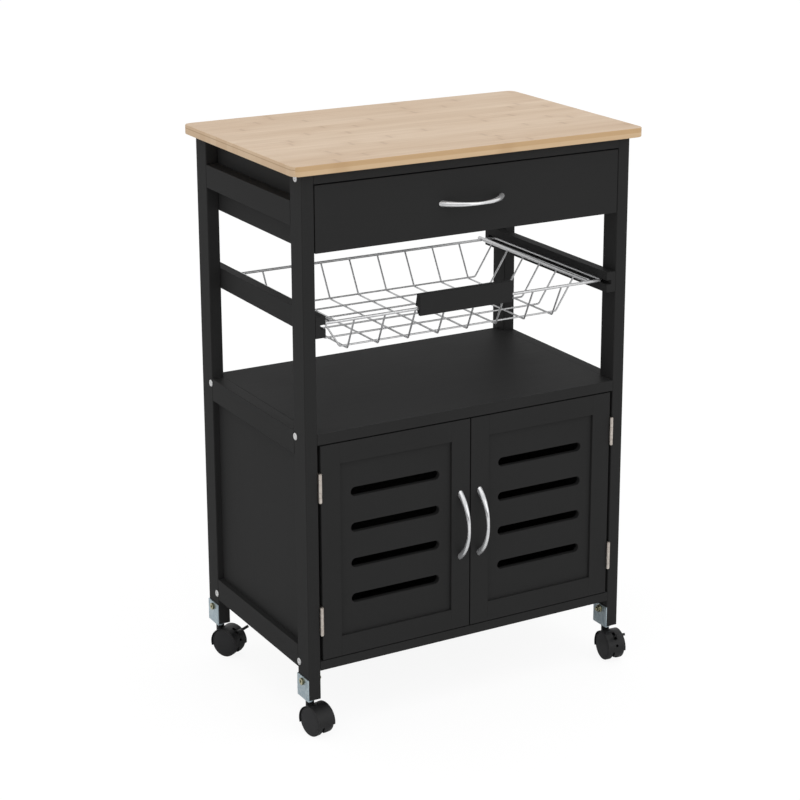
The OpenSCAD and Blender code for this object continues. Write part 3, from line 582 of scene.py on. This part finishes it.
# %% Helpers for Geometry Nodes
class Recipe(Bench):
    """A Geometry Nodes tree with named inputs. Kinds are the socket types of the inputs."""

    def __init__(self, name, **kinds):
        super().__init__(bpy.data.node_groups.new(name, "GeometryNodeTree"))
        sockets = self.tree.interface
        sockets.new_socket("Geometry", in_out="INPUT", socket_type="NodeSocketGeometry")
        for label, kind in kinds.items():
            plain = label.replace("_", " ")
            sockets.new_socket(plain, in_out="INPUT", socket_type="NodeSocket" + kind)
        sockets.new_socket("Geometry", in_out="OUTPUT", socket_type="NodeSocketGeometry")
        self.start = self.tree.nodes.new("NodeGroupInput")
        self.end = self.tree.nodes.new("NodeGroupOutput")

    def given(self, label):
        return Value(self, self.start.outputs[label])

    def serve(self, geometry, material):
        """Ends the tree: real geometry instead of instances, in its finish."""
        real = self.add("GeometryNodeRealizeInstances", inputs={0: geometry})
        finish = {"Geometry": real, "Material": material}
        done = self.add("GeometryNodeSetMaterial", inputs=finish)
        self.tree.links.new(done.output, self.end.inputs[0])

    def grow(self, start_mesh, **sizes):
        """The plain mesh that the tree makes."""
        carrier = bpy.data.objects.new("carrier", start_mesh)
        modifier = carrier.modifiers.new("recipe", "NODES")
        modifier.node_group = self.tree
        for socket in self.tree.interface.items_tree:
            label = socket.name.replace(" ", "_")
            if socket.in_out == "INPUT" and label in sizes:
                modifier[socket.identifier] = sizes[label]
        bpy.context.scene.collection.objects.link(carrier)
        evaluated = carrier.evaluated_get(bpy.context.evaluated_depsgraph_get())
        result = bpy.data.meshes.new_from_object(evaluated)
        bpy.data.objects.remove(carrier)
        return result


# %% [markdown]
# A tree starts from a mesh. Two small helpers make such start meshes: loose points, or a path that
# runs from point to point.

# %% Start meshes
def points_mesh(points, edges=()):
    """A mesh of points, with edges given as pairs of their numbers."""
    mesh = bpy.data.meshes.new("points")
    mesh.from_pydata([tuple(point) for point in points], list(edges), [])
    return mesh


def path_mesh(points, closed=False):
    """A mesh of edges from point to point."""
    edges = [(i, i + 1) for i in range(len(points) - 1)]
    if closed:
        edges.append((len(points) - 1, 0))
    return points_mesh(points, edges)


# %% [markdown]
# The basket is welded from wire. One recipe serves for all of it: the start mesh is the path of
# one wire, whose corners are rounded as a bending machine does, a circle is drawn along it, and
# the wire is then repeated at even steps, as many to one side of the path as to the other.

# %% The wire recipe
def wire_recipe(material):
    recipe = Recipe(
        "bent wires", Wires="Int", Step="Vector", Wire_radius="Float", Bend_radius="Float"
    )
    path = recipe.add("GeometryNodeMeshToCurve", inputs={0: recipe.given("Geometry")})
    bend = {"Curve": path, "Count": 6, "Radius": recipe.given("Bend radius"), "Limit Radius": True}
    bent = recipe.add("GeometryNodeFilletCurve", {"mode": "POLY"}, bend)
    round_bar = {"Resolution": 12, "Radius": recipe.given("Wire radius")}
    circle = recipe.add("GeometryNodeCurvePrimitiveCircle", inputs=round_bar)
    swept = {"Curve": bent, "Profile Curve": circle, "Fill Caps": True}
    wire = recipe.add("GeometryNodeCurveToMesh", inputs=swept)
    count, step = recipe.given("Wires"), recipe.given("Step")
    steps_back = {0: step, "Scale": (1 - count) / 2}
    start = recipe.add("ShaderNodeVectorMath", {"operation": "SCALE"}, steps_back)
    evenly = {"Count": count, "Start Location": start, "Offset": step}
    row = recipe.add("GeometryNodeMeshLine", {"mode": "OFFSET"}, evenly)
    repeated = {"Points": row, "Instance": wire}
    recipe.serve(recipe.add("GeometryNodeInstanceOnPoints", inputs=repeated), material)
    return recipe


WIRES = wire_recipe(WIRE)
print("wire recipe:", len(WIRES.tree.nodes), "nodes")

# %% [markdown]
# The places of the wires come from the boxes of the solid ones. The basket's floor is smaller than
# its rim, so every thin wire runs down from the rim, along the floor and up again. The wires that
# run from side to side lie on the ones that run from front to back.

# %% Measure the basket
RIM_R, BAR_R, THIN_R = 2.2 * MM, 3.1 * MM, 1.35 * MM
FLOOR_FROM_FRONT, FLOOR_FROM_BACK = 34 * MM, 26 * MM
rim_low, rim_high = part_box("basket_rim")
bar_low, bar_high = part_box("basket_side_bars")
rim_x, rim_z = rim_high.x - RIM_R, (rim_low.z + rim_high.z) / 2
front, back = rim_low.y + RIM_R, rim_high.y - RIM_R
bar_x, bar_z = bar_high.x - BAR_R, (bar_low.z + bar_high.z) / 2
floor_x = 182 * MM
floor_front, floor_back = front + FLOOR_FROM_FRONT, back - FLOOR_FROM_BACK
floor_middle = (floor_front + floor_back) / 2
cross_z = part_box("basket_cross_wires")[0].z + THIN_R
long_z = cross_z + 2 * THIN_R
print("basket:", rounded((2 * rim_x, back - front)), "deep:", round(rim_z - cross_z, 4))

# %% [markdown]
# The rim is one closed loop of thick wire with bent corners, and its sides slide in the grooves of
# the two rails. The side bars are thicker still and straight. They run from front to back, a
# little inside the rim's sides.

# %% Bend the rim and the side bars
def wires(name, solid, path, radius, bend, count=1, step=(0, 0, 0), closed=False):
    """Wires of one radius along a path, as one piece of the basket."""
    mesh = WIRES.grow(
        path_mesh(path, closed), Wires=count, Step=step, Wire_radius=radius, Bend_radius=bend
    )
    made = piece(name, shaded(mesh, 50), WIRE, "basket", "wire", solid)
    print(name, count, "wires,", len(made.data.polygons), "faces")


wires(
    "basket_rim_wire",
    "basket_rim",
    [(-rim_x, front, rim_z), (rim_x, front, rim_z), (rim_x, back, rim_z), (-rim_x, back, rim_z)],
    RIM_R,
    bend=7 * MM,
    closed=True,
)
wires(
    "basket_bars",
    "basket_side_bars",
    [(0, bar_low.y, bar_z), (0, bar_high.y, bar_z)],
    BAR_R,
    bend=0.0,
    count=2,
    step=(2 * bar_x, 0, 0),
)

# %% [markdown]
# The thin wires end against the rim or the side bars, so their last points stop at the middle of
# those, and the weld is where one runs into the other. The wires from front to back lean a little
# to the left at both ends, as those in the picture do.

# %% Bend the thin wires
CROSS_STEP, LONG_STEP = 49.2 * MM, 46.2 * MM
LEAN_IN_FRONT, LEAN_BEHIND = 6.5 * MM, 2 * MM

wires(
    "basket_wires_front_to_back",
    "basket_cross_wires",
    [
        (-LEAN_IN_FRONT, front, rim_z),
        (0, floor_front, cross_z),
        (0, floor_back, cross_z),
        (-LEAN_BEHIND, back, rim_z),
    ],
    THIN_R,
    bend=4 * MM,
    count=8,
    step=(CROSS_STEP, 0, 0),
)
wires(
    "basket_wires_side_to_side",
    "basket_long_wires",
    [
        (-bar_x, floor_middle, bar_z),
        (-floor_x, floor_middle, long_z),
        (floor_x, floor_middle, long_z),
        (bar_x, floor_middle, bar_z),
    ],
    THIN_R,
    bend=4 * MM,
    count=6,
    step=(0, LONG_STEP, 0),
)

# %% [markdown]
# A bow handle is a shape with a rule: its middle line is an arc through both feet, and the bar is
# thickest at the feet and thins evenly towards the middle. A recipe lays points on the arc from
# the share of the way along it, and the same share gives the radius.

# %% The handle recipe
def handle_recipe(material):
    recipe = Recipe(
        "bow handle",
        Arc_radius="Float",
        Half_angle="Float",
        Rise="Float",
        Middle_radius="Float",
        Foot_radius="Float",
    )
    ends = {"Start": (-1, 0, 0), "End": (1, 0, 0)}
    line = recipe.add("GeometryNodeCurvePrimitiveLine", inputs=ends)
    fine = recipe.add("GeometryNodeResampleCurve", inputs={"Curve": line, "Count": 64})
    share = recipe.add("GeometryNodeSplineParameter", output="Factor")
    along = share * 2 - 1
    angle = along * recipe.given("Half angle")
    reach = recipe.given("Arc radius")
    x = recipe.maths("SINE", angle) * reach
    y = reach - recipe.given("Rise") - recipe.maths("COSINE", angle) * reach
    on_arc = recipe.add("ShaderNodeCombineXYZ", inputs={0: x, 1: y, 2: 0.0})
    arc = recipe.add("GeometryNodeSetPosition", inputs={"Geometry": fine, "Position": on_arc})
    thicker = recipe.maths("POWER", recipe.maths("ABSOLUTE", along), 1.2)
    middle, foot = recipe.given("Middle radius"), recipe.given("Foot radius")
    radius = middle + (foot - middle) * thicker
    unit = {"Resolution": 32, "Radius": 1.0}
    circle = recipe.add("GeometryNodeCurvePrimitiveCircle", inputs=unit)
    swept = {"Curve": arc, "Profile Curve": circle, "Scale": radius, "Fill Caps": True}
    recipe.serve(recipe.add("GeometryNodeCurveToMesh", inputs=swept), material)
    return recipe


HANDLE = handle_recipe(CHROME)
print("handle recipe:", len(HANDLE.tree.nodes), "nodes")

# %% [markdown]
# The arc of a handle follows from the distance between its feet and from how far its middle stands
# off the door. The bar is made a little longer than the arc between the feet, so that it runs on
# past the face of the door, and is cut off flat there.

# %% Fit the handles
FOOT_GAP, RISE = 96 * MM, 24.3 * MM
RUN_ON = 1.2  # how much longer than the arc the bar is made
MIDDLE_R, FOOT_R = 2.3 * MM, 5 * MM


def bow_handle(name, solid, upright):
    """A handle in the place of its solid, on a face that looks towards -Y."""
    arc = ((FOOT_GAP / 2) ** 2 + RISE**2) / (2 * RISE)
    mesh = HANDLE.grow(
        points_mesh([]),
        Arc_radius=arc,
        Half_angle=math.asin(FOOT_GAP / 2 / arc) * RUN_ON,
        Rise=RISE,
        Middle_radius=MIDDLE_R,
        Foot_radius=FOOT_R,
    )
    bm = bmesh.new()
    bm.from_mesh(mesh)
    bmesh.ops.bisect_plane(
        bm,
        geom=bm.verts[:] + bm.edges[:] + bm.faces[:],
        plane_co=(0, 0, 0),
        plane_no=(0, 1, 0),
        clear_outer=True,
    )
    bmesh.ops.holes_fill(bm, edges=[e for e in bm.edges if e.is_boundary], sides=0)
    if upright:
        quarter = Matrix.Rotation(math.radians(90), 3, "Y")
        bmesh.ops.rotate(bm, verts=bm.verts, cent=(0, 0, 0), matrix=quarter)
    low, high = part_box(solid)
    foot_middle = Vector(((low.x + high.x) / 2, high.y, (low.z + high.z) / 2))
    bmesh.ops.translate(bm, verts=bm.verts, vec=foot_middle)
    piece(name, to_mesh(bm, name), CHROME, BODY_OF[solid], "chrome", solid)
    print(name, "stands at", rounded(foot_middle))


bow_handle("drawer_bow_handle", "drawer_handle", upright=False)
bow_handle("left_bow_handle", "door_handle_left", upright=True)
bow_handle("right_bow_handle", "door_handle_right", upright=True)

# %% [markdown]
# Bolts and screws are copies of a head, put on points. The points carry the direction in which
# their head faces, and each head is turned about its own axis by a random angle from a fixed seed,
# as real screws are left.

# %% The fastener recipe
def fastener_recipe(material):
    recipe = Recipe("fasteners", Head="Object", Seed="Int")
    template = {"Object": recipe.given("Head")}
    head = recipe.add("GeometryNodeObjectInfo", inputs=template, output="Geometry")
    vector = {"data_type": "FLOAT_VECTOR"}
    named = {"Name": "facing"}
    facing = recipe.add("GeometryNodeInputNamedAttribute", vector, named, output="Attribute")
    aimed = recipe.add("FunctionNodeAlignRotationToVector", {"axis": "Z"}, {"Vector": facing})
    any_angle = {2: 0.0, 3: math.tau, "Seed": recipe.given("Seed")}
    turn = recipe.add("FunctionNodeRandomValue", {"data_type": "FLOAT"}, any_angle, output=1)
    about_z = {"Axis": (0, 0, 1), "Angle": turn}
    spin = recipe.add("FunctionNodeAxisAngleToRotation", inputs=about_z)
    both = {"Rotation": aimed, "Rotate By": spin}
    rotation = recipe.add("FunctionNodeRotateRotation", {"rotation_space": "LOCAL"}, both)
    copies = {"Points": recipe.given("Geometry"), "Instance": head, "Rotation": rotation}
    recipe.serve(recipe.add("GeometryNodeInstanceOnPoints", inputs=copies), material)
    return recipe


def fastened(name, head, places, material, slot, solids=(), *, seed):
    """One piece with a head at each place, which is a point and the direction the head faces."""
    template = bpy.data.objects.new("template", head)
    points = points_mesh([place for place, facing in places])
    facings = points.attributes.new("facing", "FLOAT_VECTOR", "POINT")
    for entry, (place, facing) in zip(facings.data, places):
        entry.vector = facing
    mesh = fastener_recipe(material).grow(points, Head=template, Seed=seed)
    bpy.data.objects.remove(template)
    print(name, len(places), "heads,", len(mesh.polygons), "faces")
    return piece(name, shaded(mesh, 35), material, "frame", slot, *solids)


# %% [markdown]
# Heads, nuts and wheels are all turned on a lathe. The profile is a list of radius and height in
# millimetres. Where a ring is not round but a hexagon, as in a socket or a nut, the lathe moves
# each point of that ring in to the hexagon's side.

# %% The lathe
def hexagon(angle):
    """How far a hexagon's side is, as a share of its corner's distance."""
    return math.cos(math.radians(30)) / math.cos(angle % math.radians(60) - math.radians(30))


def lathe(steps, *profiles, hexagonal=()):
    """A bmesh of profiles that are turned about Z. The rings that are listed become hexagons."""
    bm = bmesh.new()
    for profile in profiles:
        rings = []
        for number, (radius, height) in enumerate(profile):
            ring = []
            for step in range(steps if radius else 1):
                angle = math.tau * step / steps
                reach = radius * MM * (hexagon(angle) if number in hexagonal else 1)
                point = (reach * math.cos(angle), reach * math.sin(angle), height * MM)
                ring.append(bm.verts.new(point))
            rings.append(ring)
        for lower, upper in zip(rings, rings[1:]):
            for step in range(steps):
                here, there = step, (step + 1) % steps
                corners = [
                    lower[here % len(lower)],
                    lower[there % len(lower)],
                    upper[there % len(upper)],
                    upper[here % len(upper)],
                ]
                bm.faces.new(list(dict.fromkeys(corners)))
    return bm


def turned_head(name, profile, hexagonal, painted_shade_of=None):
    """The mesh of a head, whose last argument gives each face its share of painted shade."""
    mesh = to_mesh(lathe(48, profile, hexagonal=hexagonal), name, 35)
    if painted_shade_of:
        painted_shade = mesh.attributes.new("painted_shade", "FLOAT", "FACE")
        for face, entry in zip(mesh.polygons, painted_shade.data):
            entry.value = painted_shade_of(face)
    return mesh


# %% [markdown]
# The places of the bolts are read from the solid ones. One node holds many bolts, so each is
# followed from point to point along its edges. They are sorted at the end, so that each head gets
# the same random turn every time.

# %% Find the bolts
def bolts_of(solid):
    """The side (1 is right), outer x, inner x, y and z of each bolt in a node of bolts along X."""
    bm = copied(solid)
    seen, found = set(), []
    for first in bm.verts:
        if first in seen:
            continue
        seen.add(first)
        island = [first]
        for vert in island:  # the list grows while the loop goes along it
            for edge in vert.link_edges:
                other = edge.other_vert(vert)
                if other not in seen:
                    seen.add(other)
                    island.append(other)
        (low_x, high_x), (low_y, high_y), (low_z, high_z) = (
            (min(values), max(values)) for values in zip(*(vert.co for vert in island))
        )
        side = 1 if low_x + high_x > 0 else -1
        outer, inner = (high_x, low_x) if side > 0 else (low_x, high_x)
        found.append((side, outer, inner, (low_y + high_y) / 2, (low_z + high_z) / 2))
    bm.free()
    return sorted(found, key=rounded)


print("bolts in the frame:", len(bolts_of("frame_bolts")))

# %% [markdown]
# The frame is held by furniture bolts with low round heads and a hexagonal socket.

# %% Put in the frame's bolts
BOLT_HEAD_H = 1.3 * MM
BOLT_HEAD = [
    (0, 0.3), (2.3, 0.3), (2.3, 1.1), (2.7, 1.3), (3.8, 1.25), (4.8, 0.95), (5.2, 0.5), (5.3, 0),
    (4.5, -1), (0, -1),
]

bolt_places = [
    (Vector((outer - side * BOLT_HEAD_H, y, z)), Vector((side, 0, 0)))
    for side, outer, inner, y, z in bolts_of("frame_bolts")
]
fastened(
    "frame_bolt_heads",
    turned_head("bolt_head", BOLT_HEAD, hexagonal=(1, 2)),
    bolt_places,
    BOLT_STEEL,
    "bolt_steel",
    ["frame_bolts"],
    seed=3,
)

# %% [markdown]
# The screws through the casters' brackets have a higher round head, also with a hexagonal socket.
# On the inside each has a washer and a nut with chamfered corners, and the screw's end stands out
# of the nut. The socket and the flanks are marked for painted shade, which darkens their colour.

# %% Shape the brackets' screws
SCREW_HEAD_H, NUT_H = 3.5 * MM, 8.2 * MM
SCREW_HEAD = [
    (0, 1.3), (2.2, 1.3), (2.2, 3.3), (2.5, 3.5), (4.6, 3.5), (5.1, 3.2), (5.3, 2.7), (5.3, 0),
    (4, -1), (0, -1),
]
NUT = [
    (0, -1), (6, -1), (6, 1), (5.8, 1.2), (5.2, 1.2), (5.2, 4.6), (4.6, 5.2), (2.9, 5.2),
    (2.5, 5), (2.5, 7.8), (2.1, 8.2), (0, 8.2),
]
SOCKET_R = 2.2 * MM


def is_flank(face):
    return abs(face.normal.z) < 0.5


# Painted shade: the socket fully, the flanks mostly, the top face not at all.
def screw_painted_shade(face):
    if face.center.xy.length < SOCKET_R:
        return 1.0
    return 0.7 if is_flank(face) else 0.0


# Painted shade: the nut's flanks strongly, its other faces a little.
def nut_painted_shade(face):
    return 0.8 if is_flank(face) else 0.1


screw_head = turned_head("socket_head", SCREW_HEAD, (1, 2), screw_painted_shade)
nut = turned_head("nut", NUT, (4, 5), nut_painted_shade)
print("screw head:", len(screw_head.polygons), "faces, nut:", len(nut.polygons), "faces")

# %% [markdown]
# A screw's head faces outwards and its nut faces the other way, so the same search for bolts gives
# both places: the outer end of the solid screw, less the height of the head, and its inner end,
# less the height of the nut.

# %% Put in the brackets' screws
heads, nuts = [], []
for side, outer, inner, y, z in bolts_of("bracket_bolts"):
    heads.append((Vector((outer - side * SCREW_HEAD_H, y, z)), Vector((side, 0, 0))))
    nuts.append((Vector((inner + side * NUT_H, y, z)), Vector((-side, 0, 0))))
fastened(
    "bracket_screw_heads",
    screw_head,
    heads,
    BRASS_PLATE,
    "brass_screws",
    ["bracket_bolts"],
    seed=5,
)
fastened("bracket_nuts", nut, nuts, BRASS_PLATE, "brass_screws", seed=7)

# %% [markdown]
# Each caster has a moulded hood over two wheels. Its wheels are built at the origin, with the
# swivel axis upright and the wheels towards -Y, and are then turned and moved as the record's
# joints say.

# %% Find the casters
CASTERS = ("fl", "fr", "rl", "rr")
WHEEL_R, TRAIL = 22 * MM, 16 * MM


def caster_matrix(name):
    """Where a caster stands and how it is turned, from its joints."""
    swivel = Vector(JOINT["swivel_" + name]["pos_m"])
    axle = JOINT["wheel_" + name]["axis"]
    turned = Matrix.Rotation(math.atan2(axle[1], axle[0]), 4, "Z")
    return Matrix.Translation((swivel.x, swivel.y, 0)) @ turned


turns = [round(math.degrees(caster_matrix(name).to_euler().z)) for name in CASTERS]
print("casters face", dict(zip(CASTERS, turns)))

# %% [markdown]
# A wheel is turned on the lathe in two profiles: the outside, with rounded shoulders and a plain,
# slightly crowned disc, and the blind bore for the axle. The disc sits a little inside the edge of
# the hood, which is a softened copy of its solid.

# %% Make the casters
WHEEL = [
    (2.6, 5), (20.6, 5), (21.6, 5.3), (22, 6.1), (22, 12.4), (21.7, 13.2), (21, 13.6), (20, 13.7),
    (19.5, 13.3), (19.2, 13.5), (15, 13.85), (8, 13.95), (0, 14),
]
BORE = [(0, 12.6), (2.6, 12.6), (2.6, 5)]


def wheel(side):
    """One wheel, its disc facing outwards on that side."""
    bm = lathe(72, WHEEL, BORE)
    bmesh.ops.remove_doubles(bm, verts=bm.verts, dist=WELD)
    outwards = Matrix.Rotation(math.radians(90 * side), 3, "Y")
    bmesh.ops.rotate(bm, verts=bm.verts, cent=(0, 0, 0), matrix=outwards)
    bmesh.ops.translate(bm, verts=bm.verts, vec=(0, -TRAIL, WHEEL_R))
    bmesh.ops.recalc_face_normals(bm, faces=bm.faces)
    mesh = bpy.data.meshes.new("wheel")
    bm.to_mesh(mesh)
    bm.free()
    return mesh


for name in CASTERS:
    bm = bmesh.new()
    for side in (-1, 1):
        bm.from_mesh(wheel(side))
    bmesh.ops.transform(bm, matrix=caster_matrix(name), verts=bm.verts)
    wheels = piece(
        "wheel_pair_" + name,
        to_mesh(bm, "wheel_pair", 35),
        WHEEL_PLASTIC,
        "wheels_" + name,
        "black_plastic",
        "caster_wheels_" + name,
    )
    hood = soft_piece("caster_hood_" + name, 0.5, HOOD_PLASTIC, "black_plastic", angle=35)
    print(name, "wheels:", len(wheels.data.polygons), "faces, hood:", len(hood.data.polygons))

# %% [markdown]
# The studio has a plain pale floor. The camera sees mostly the bare colour of the floor, and part
# of what it sees is really lit, so that the cart keeps a soft shadow.

# %% Lay the floor
FLOOR_REACH = 9  # metres from the middle to each edge
BARE_SHARE = 0.86  # how much of the camera's floor is its bare colour


def floor_finish():
    finish = Finish("pale_floor", Roughness=0.9, Specular_IOR_Level=0.1)
    grain = finish.noise(3, detail=2)
    finish.feed("Base Color", finish.blend(grain, rgb(252, 252, 252), rgb(255, 255, 255)))
    seen = finish.add("ShaderNodeLightPath", output="Is Camera Ray")
    white = {"Color": (1, 1, 1, 1), "Strength": 1.05}
    plain = finish.add("ShaderNodeEmission", inputs=white)
    both = finish.add("ShaderNodeMixShader", inputs={0: seen * BARE_SHARE, 2: plain})
    finish.tree.links.new(finish.shader.outputs[0], both.output.node.inputs[1])
    finish.tree.links.new(both.output, finish.tree.nodes["Material Output"].inputs["Surface"])
    return finish.material


corners = [(-1, -1, 0), (1, -1, 0), (1, 1, 0), (-1, 1, 0)]
floor_mesh = bpy.data.meshes.new("floor")
floor_mesh.from_pydata([Vector(c) * FLOOR_REACH for c in corners], [], [(0, 1, 2, 3)])
floor_mesh.materials.append(floor_finish())
floor = bpy.data.objects.new("floor", floor_mesh)
bpy.context.scene.collection.objects.link(floor)
print("floor:", floor_mesh.materials[0].name)

# %% [markdown]
# The light is that of a white tent: an even light from all round, and a few large soft lamps that
# give the shapes a little modelling. The sky is pure white to the camera and in reflections, and
# dimmer as a light, so that with the lamps a colour comes out about as it is written. Reflections
# see one darker gap in it, low on the front left, which gives the handles a darker side.

# %% Light the studio
DIM, GAP_DEPTH = 0.76, 0.95
CART_MIDDLE = Vector((0, 0, 0.5))


def sky():
    world = bpy.data.worlds.new("studio")
    bpy.context.scene.world = world
    world.use_nodes = True
    bench = Bench(world.node_tree)
    rays = world.node_tree.nodes.new("ShaderNodeLightPath")
    kinds = ("Camera", "Glossy", "Transmission")
    seen, glossy, through = (Value(bench, rays.outputs[f"Is {kind} Ray"]) for kind in kinds)
    direct = bench.maths("MAXIMUM", bench.maths("MAXIMUM", seen, glossy), through)
    x, y, z = bench.add("ShaderNodeTexCoord", output="Generated").parts()
    to_left, to_front = 1 - bench.ramp(x, -0.1, 0.15), 1 - bench.ramp(y, -0.3, -0.05)
    gap = to_left * to_front * (1 - bench.ramp(z, 0.12, 0.24))
    strength = DIM + (1 - DIM) * direct - GAP_DEPTH * glossy * gap
    background = world.node_tree.nodes["Background"]
    background.inputs["Color"].default_value = (1, 1, 1, 1)
    world.node_tree.links.new(strength.output, background.inputs["Strength"])


def soft_lamp(name, place, size, watts):
    """A square lamp that points at the middle of the cart."""
    data = bpy.data.lights.new(name, "AREA")
    data.shape = "SQUARE"
    data.size = size
    data.energy = watts
    lamp = bpy.data.objects.new(name, data)
    bpy.context.scene.collection.objects.link(lamp)
    aim = (CART_MIDDLE - Vector(place)).to_track_quat("-Z", "Y")
    lamp.matrix_world = Matrix.Translation(place) @ aim.to_matrix().to_4x4()


sky()
soft_lamp("top_lamp", (-0.3, -0.6, 3.4), size=2.6, watts=11)
soft_lamp("left_lamp", (-3.2, -1.2, 1.9), size=2.2, watts=0.5)
soft_lamp("front_lamp", (1.2, -3.6, 2.2), size=2.2, watts=18)
bpy.context.scene.view_settings.view_transform = "Standard"
